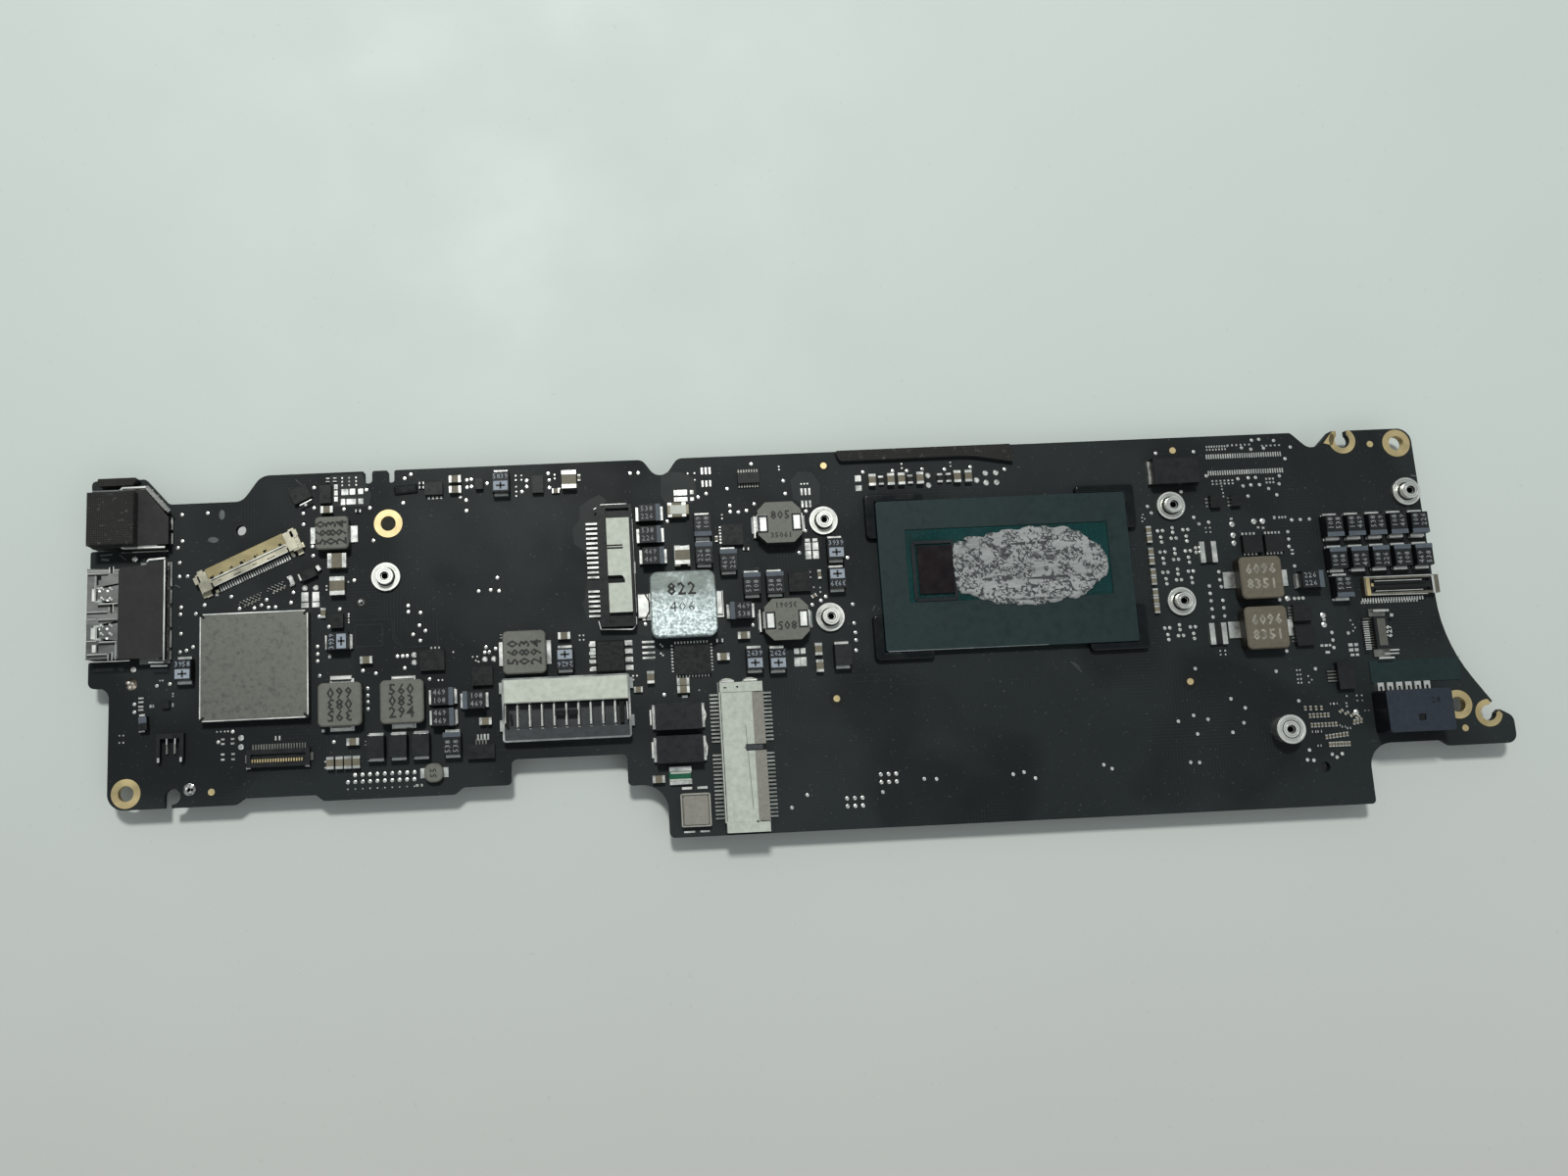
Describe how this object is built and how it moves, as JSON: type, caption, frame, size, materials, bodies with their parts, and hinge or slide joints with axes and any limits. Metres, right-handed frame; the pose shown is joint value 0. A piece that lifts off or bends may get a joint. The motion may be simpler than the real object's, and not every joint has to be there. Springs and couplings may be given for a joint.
{
  "type": "laptop logic board",
  "caption": "Long narrow laptop logic board with a processor, storage, card, display and battery sockets, chokes and capacitors, and two ports on its left end.",
  "frame": {"origin": "axis of the lower left mounting hole at the underside of the board", "axes": "+X along the board from the ports to the fan end, +Y across the board towards the display socket edge, +Z out of the populated side"},
  "size_m": [0.2225, 0.0598, 0.0074],
  "materials": {
    "board": "matt black solder mask",
    "gold_plating": "gold-plated copper",
    "port_steel": "nickel-plated sheet",
    "socket_plastic": "black liquid-crystal polymer",
    "black_film": "black polyester film",
    "black_foam": "black cloth-covered foam",
    "package_green": "teal package substrate",
    "silicon": "polished silicon",
    "dried_paste": "dried grey thermal paste",
    "black_resin": "black epoxy",
    "nickel": "nickel plate",
    "tinned_steel": "tin plate",
    "grey_ferrite": "moulded iron powder",
    "brown_ferrite": "moulded iron powder",
    "solder": "solder and tin plate",
    "black_moulding": "moulded epoxy",
    "grey_moulding": "moulded epoxy with grey print",
    "tan_ceramic": "fired ceramic",
    "pale_plastic": "cream polymer",
    "pale_gold": "flash gold plate"
  },
  "bodies": {
    "root": {"circuit_board": "board", "plated_hole_rings": "gold_plating", "usb_port_shell": "port_steel", "usb_port_tongue": "socket_plastic", "video_port_shell": "port_steel", "video_port_tongue": "socket_plastic", "insulating_films": "black_film", "port_foam_pads": "black_foam", "cpu_package": "package_green", "cpu_film": "black_film", "cpu_die": "silicon", "chipset_die": "silicon", "thermal_paste": "dried_paste", "cpu_corner_bonds": "black_resin", "edge_gasket": "black_foam", "heat_sink_standoffs": "nickel", "card_standoffs": "nickel", "drive_standoff": "nickel", "port_controller_shield": "tinned_steel", "large_choke": "tinned_steel", "power_chokes": "grey_ferrite", "small_choke": "grey_ferrite", "input_chokes": "brown_ferrite", "round_choke": "grey_ferrite", "choke_feet": "solder", "core_chokes": "grey_ferrite", "core_choke_straps": "tinned_steel", "tantalum_capacitors": "black_moulding", "polymer_capacitors": "grey_moulding", "moulded_capacitors": "black_moulding", "capacitor_feet": "solder", "ceramic_capacitors": "tan_ceramic", "ceramic_capacitor_ends": "solder", "sense_resistors": "black_moulding", "sense_resistor_terminals": "solder", "crystal_can": "tinned_steel", "power_controllers": "black_moulding", "audio_amplifier": "black_moulding", "audio_amplifier_leads": "solder", "drive_connector_housing": "pale_plastic", "drive_connector_end_bars": "tinned_steel", "drive_connector_contacts": "solder", "card_connector_housing": "socket_plastic", "card_connector_cover": "pale_plastic", "card_connector_contacts": "solder", "battery_connector_housing": "socket_plastic", "battery_connector_cover": "pale_plastic", "battery_connector_contacts": "solder", "battery_connector_frame": "tinned_steel", "display_connector_housing": "socket_plastic", "display_connector_shell": "pale_gold", "display_connector_contacts": "solder", "side_board_connector_rim": "pale_gold", "side_board_connector_core": "socket_plastic", "fan_connector_housing": "socket_plastic", "fan_connector_contacts": "solder", "ribbon_connector_housings": "socket_plastic", "ribbon_connector_contacts": "solder", "memory_chips": "black_moulding", "underside_controllers": "black_moulding"}
  },
  "joints": []
}
